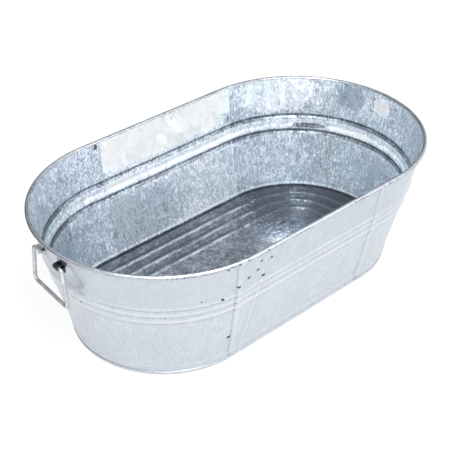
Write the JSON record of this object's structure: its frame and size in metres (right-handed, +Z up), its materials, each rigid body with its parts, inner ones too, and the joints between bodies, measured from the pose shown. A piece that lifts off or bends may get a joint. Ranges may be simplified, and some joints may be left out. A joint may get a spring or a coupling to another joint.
{
  "type": "oval wash tub",
  "caption": "Oval galvanised steel wash tub with lock-seamed wall sheets, a wired rim, a swaged band, a ribbed floor and a swinging wire handle at each end.",
  "frame": {"origin": "middle of the foot, on the ground", "axes": "+X along the tub, +Y across it, +Z up out of its mouth"},
  "size_m": [0.6628, 0.382, 0.205],
  "materials": {
    "galvanised_wall": "hot-dip galvanised, pale blue-grey spangle, satin",
    "galvanised_floor": "hot-dip galvanised, duller and greyer than the wall",
    "wire": "zinc-coated round wire, satin",
    "dark_strap": "dark weathered steel strap",
    "rivet": "zinc-coated, satin"
  },
  "bodies": {
    "tub": {"side_panel_front": "galvanised_wall", "side_panel_back": "galvanised_wall", "end_panel_left": "galvanised_wall", "end_panel_right": "galvanised_wall", "floor_panel": "galvanised_floor", "rim_wire": "wire", "ear_left_front": "dark_strap", "ear_left_back": "dark_strap", "ear_right_front": "dark_strap", "ear_right_back": "dark_strap", "rivets_left_front": "rivet", "rivets_left_back": "rivet", "rivets_right_front": "rivet", "rivets_right_back": "rivet"},
    "left_bail": {"handle_left": "wire"},
    "right_bail": {"handle_right": "wire"}
  },
  "joints": [
    {"name": "left_handle_swing", "type": "hinge", "parent": "tub", "child": "left_bail", "pos_m": [-0.32479, 0.01625, 0.1805], "axis": [0.0872, 0.9962, 0], "range_deg": [-13, 168]},
    {"name": "right_handle_swing", "type": "hinge", "parent": "tub", "child": "right_bail", "pos_m": [0.32479, -0.01625, 0.1805], "axis": [-0.0872, -0.9962, 0], "range_deg": [-13, 168]}
  ]
}
